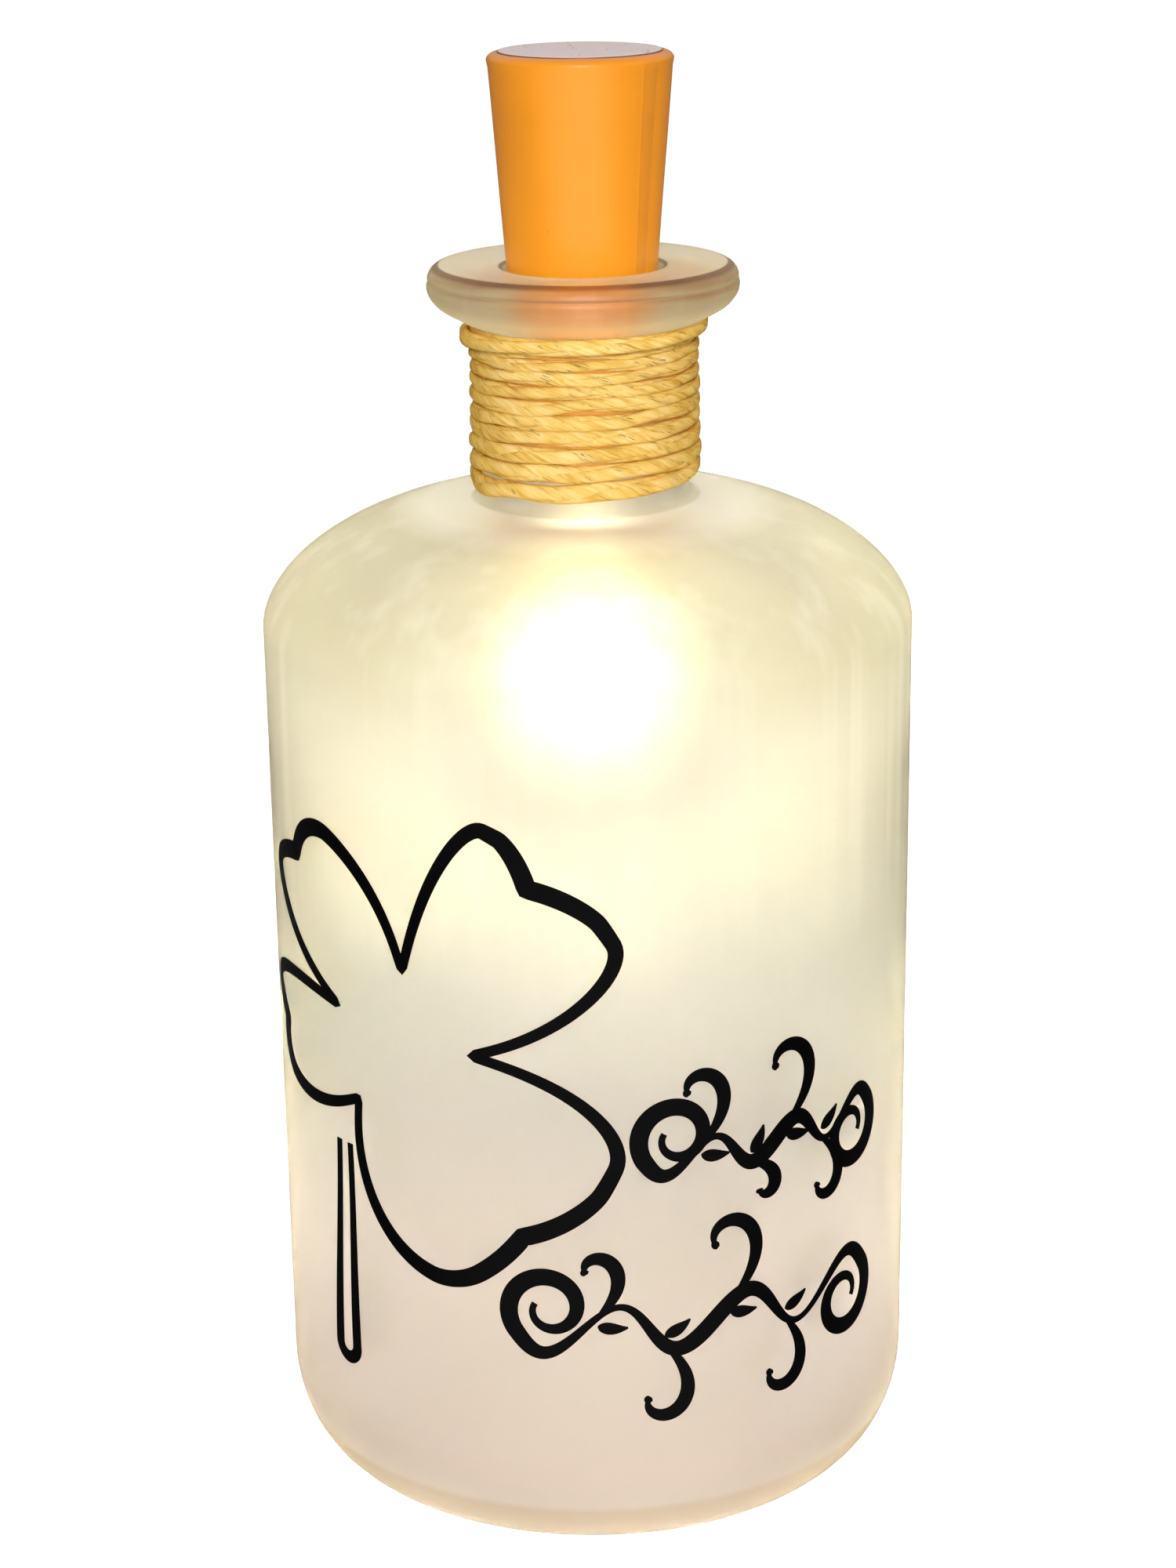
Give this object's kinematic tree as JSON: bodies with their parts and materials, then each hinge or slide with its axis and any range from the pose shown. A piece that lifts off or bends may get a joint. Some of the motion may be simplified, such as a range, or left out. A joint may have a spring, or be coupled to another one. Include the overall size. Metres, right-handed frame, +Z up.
{
  "type": "bottle lamp",
  "caption": "Frosted glass bottle with a twine-wrapped neck and a tapered stopper that holds a push-button battery light shining into it.",
  "frame": {"origin": "centre of the bottle's base, on the surface it stands on", "axes": "+Z up along the bottle's axis; -Y is the front, with the decals to its left and right"},
  "size_m": [0.081, 0.0815, 0.1804],
  "materials": {
    "frosted_glass": "acid-frosted outside, smooth inside",
    "jute": "loosely twisted two-ply jute twine",
    "black_vinyl": "cut self-adhesive vinyl film, satin",
    "orange_plastic": "moulded, cork-orange, semi-gloss",
    "pale_plastic": "pale translucent, scuffed",
    "milky_guide": "milky diffuser, lit warm white",
    "white_plastic": "moulded, matt",
    "board_green": "solder-masked board",
    "switch_black": "moulded, matt",
    "ceramic_tan": "chip component body",
    "screw_steel": "plated",
    "cell_steel": "plated steel can",
    "contact_brass": "bright",
    "led_resin": "clear resin over yellow phosphor, lit",
    "wire_red": "wire insulation",
    "wire_black": "wire insulation"
  },
  "bodies": {
    "bottle": {"frosted_bottle": "frosted_glass", "neck_twine": "jute", "clover_decal": "black_vinyl", "clover_stem_decal": "black_vinyl", "upper_scroll_decal": "black_vinyl", "lower_scroll_decal": "black_vinyl"},
    "cork": {"cork_sleeve": "orange_plastic", "light_guide": "milky_guide"},
    "core": {"core_frame": "white_plastic", "switch_board": "board_green", "switch_case": "switch_black", "driver_chip": "switch_black", "series_resistor": "ceramic_tan", "filter_capacitor": "ceramic_tan", "board_screw_left": "screw_steel", "board_screw_right": "screw_steel", "upper_cell": "cell_steel", "middle_cell": "cell_steel", "lower_cell": "cell_steel", "positive_contact": "contact_brass", "negative_spring": "screw_steel", "led_board": "board_green", "led": "led_resin", "wire_red": "wire_red", "wire_black": "wire_black"},
    "button": {"top_button": "pale_plastic", "switch_plunger": "white_plastic"}
  },
  "joints": [
    {"name": "cork_pull", "type": "slide", "parent": "bottle", "child": "cork", "axis": [0, 0, 1], "range_m": [0, 0.0791]},
    {"name": "core_draw", "type": "slide", "parent": "cork", "child": "core", "axis": [0, 0, 1], "range_m": [0, 0.0486]},
    {"name": "button_press", "type": "slide", "parent": "core", "child": "button", "axis": [0, 0, -1], "range_m": [0, 0.0012], "stiffness_N_per_m": 400, "springref_m": -0.0006}
  ]
}
